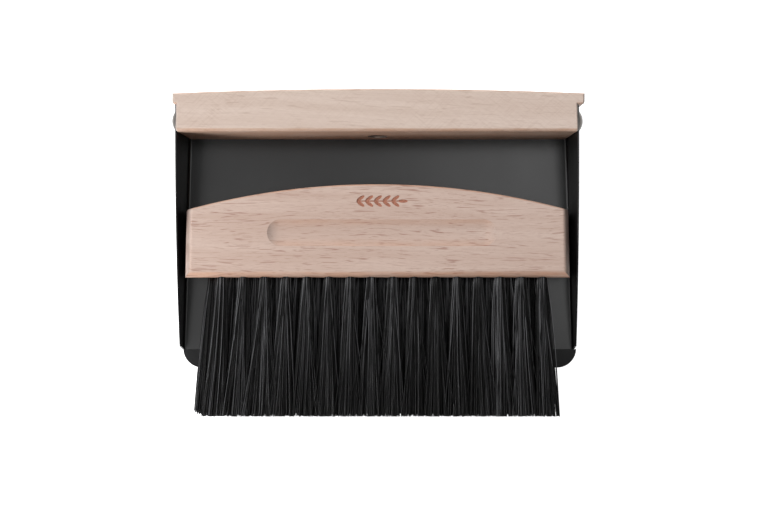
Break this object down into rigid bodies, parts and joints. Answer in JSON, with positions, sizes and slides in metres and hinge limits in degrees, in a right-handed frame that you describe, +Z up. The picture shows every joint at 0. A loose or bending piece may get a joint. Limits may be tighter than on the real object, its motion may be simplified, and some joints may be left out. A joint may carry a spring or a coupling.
{
  "type": "dustpan and brush",
  "caption": "Flat steel dustpan with a wooden handle block, and an arched wooden hand brush that lies in it and is held by a magnet.",
  "frame": {"origin": "on the table, at the middle of the footprint of the pan with the brush lying in it", "axes": "+X across the pan, +Y back towards the wooden handle block, +Z up"},
  "size_m": [0.2455, 0.1932, 0.04],
  "materials": {
    "powder_coat": "fine-textured matt powder coat",
    "handle_beech": "sanded and oiled beech",
    "brush_beech": "sanded and oiled beech",
    "bristle": "black synthetic filament bundles",
    "screw_steel": "plain zinc-plated",
    "nickel": "dull nickel",
    "anchor_wire": "flat wire"
  },
  "bodies": {
    "dustpan": {"dustpan_tray": "powder_coat", "dustpan_handle": "handle_beech", "handle_screw_left": "screw_steel", "handle_screw_right": "screw_steel", "dustpan_magnet": "nickel"},
    "brush": {"brush_block": "brush_beech", "brush_disc": "nickel", "tuft_anchors": "anchor_wire", "tuft_top_01": "bristle", "tuft_top_02": "bristle", "tuft_top_03": "bristle", "tuft_top_04": "bristle", "tuft_top_05": "bristle", "tuft_top_06": "bristle", "tuft_top_07": "bristle", "tuft_top_08": "bristle", "tuft_top_09": "bristle", "tuft_top_10": "bristle", "tuft_top_11": "bristle", "tuft_top_12": "bristle", "tuft_top_13": "bristle", "tuft_top_14": "bristle", "tuft_top_15": "bristle", "tuft_top_16": "bristle", "tuft_middle_01": "bristle", "tuft_middle_02": "bristle", "tuft_middle_03": "bristle", "tuft_middle_04": "bristle", "tuft_middle_05": "bristle", "tuft_middle_06": "bristle", "tuft_middle_07": "bristle", "tuft_middle_08": "bristle", "tuft_middle_09": "bristle", "tuft_middle_10": "bristle", "tuft_middle_11": "bristle", "tuft_middle_12": "bristle", "tuft_middle_13": "bristle", "tuft_middle_14": "bristle", "tuft_middle_15": "bristle", "tuft_middle_16": "bristle", "tuft_bottom_01": "bristle", "tuft_bottom_02": "bristle", "tuft_bottom_03": "bristle", "tuft_bottom_04": "bristle", "tuft_bottom_05": "bristle", "tuft_bottom_06": "bristle", "tuft_bottom_07": "bristle", "tuft_bottom_08": "bristle", "tuft_bottom_09": "bristle", "tuft_bottom_10": "bristle", "tuft_bottom_11": "bristle", "tuft_bottom_12": "bristle", "tuft_bottom_13": "bristle", "tuft_bottom_14": "bristle", "tuft_bottom_15": "bristle", "tuft_bottom_16": "bristle"}
  },
  "joints": [
    {"name": "brush_slide", "type": "slide", "parent": "dustpan", "child": "brush", "axis": [0, -1, 0], "range_m": [-0.0295, 0.15]}
  ]
}
